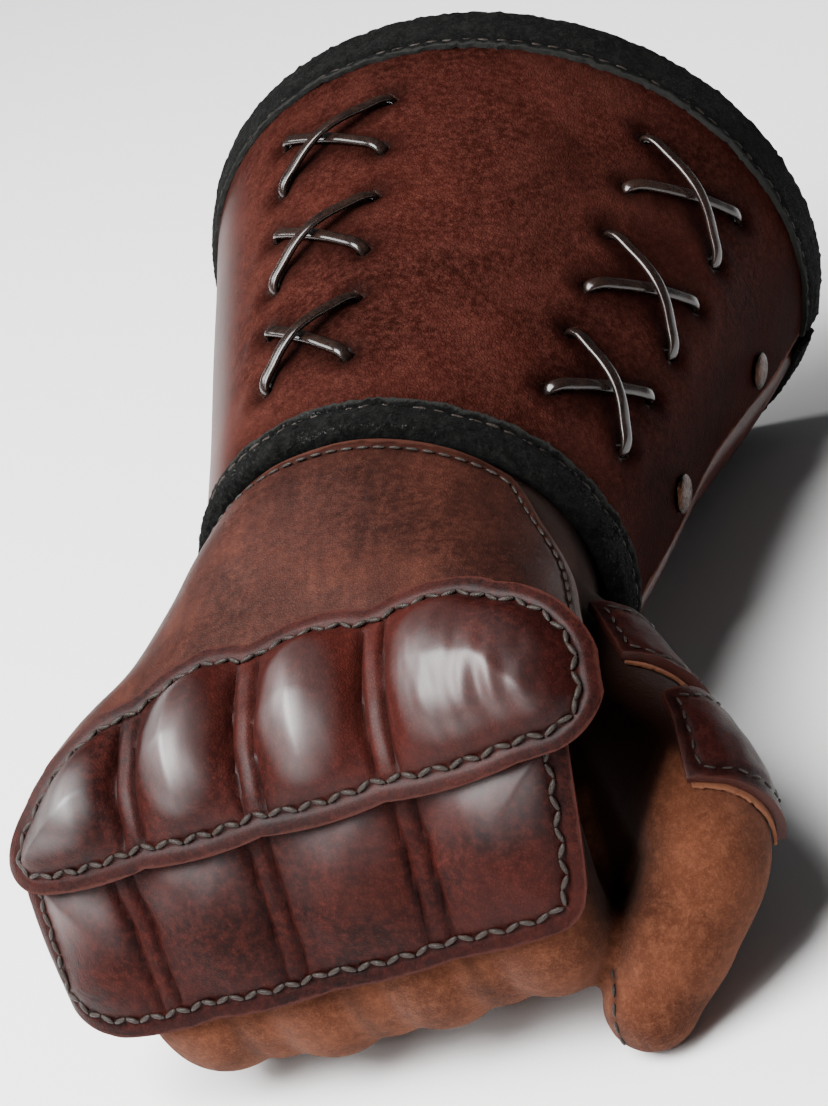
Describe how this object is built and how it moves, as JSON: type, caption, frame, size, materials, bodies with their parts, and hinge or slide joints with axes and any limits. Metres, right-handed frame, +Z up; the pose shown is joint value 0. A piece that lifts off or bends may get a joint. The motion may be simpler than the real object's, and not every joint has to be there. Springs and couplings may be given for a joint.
{
  "type": "leather gauntlet",
  "caption": "Right-hand leather gauntlet: suede glove in a fist under moulded leather plates, with a flared laced forearm cuff bound in suede.",
  "frame": {"origin": "on the surface it lies on, under the middle of the whole gauntlet", "axes": "+Y along the forearm from the knuckles towards the open rim, +X towards the thumb side, +Z up from the palm towards the back of the hand"},
  "size_m": [0.1512, 0.2406, 0.1295],
  "materials": {
    "cuff_leather": "antiqued full-grain, satin",
    "hand_leather": "antiqued full-grain, satin",
    "plate_leather": "waxed, glossy",
    "lace_leather": "waxed thong, glossy",
    "brown_suede": "napped suede, matt",
    "black_suede": "napped suede, matt",
    "rivet_metal": "aged copper, dull"
  },
  "bodies": {
    "root": {"cuff_shell": "cuff_leather", "cuff_rim_binding": "black_suede", "cuff_wrist_binding": "black_suede", "rivet_wrist": "rivet_metal", "rivet_rim": "rivet_metal", "hand_plate": "hand_leather", "knuckle_plate": "plate_leather", "finger_plate": "plate_leather", "thumb_plate_upper": "plate_leather", "thumb_plate_lower": "plate_leather", "glove": "brown_suede", "lace_left_1_over": "lace_leather", "lace_left_1_under": "lace_leather", "lace_left_2_over": "lace_leather", "lace_left_2_under": "lace_leather", "lace_left_3_over": "lace_leather", "lace_left_3_under": "lace_leather", "lace_right_1_over": "lace_leather", "lace_right_1_under": "lace_leather", "lace_right_2_over": "lace_leather", "lace_right_2_under": "lace_leather", "lace_right_3_over": "lace_leather", "lace_right_3_under": "lace_leather"}
  },
  "joints": []
}
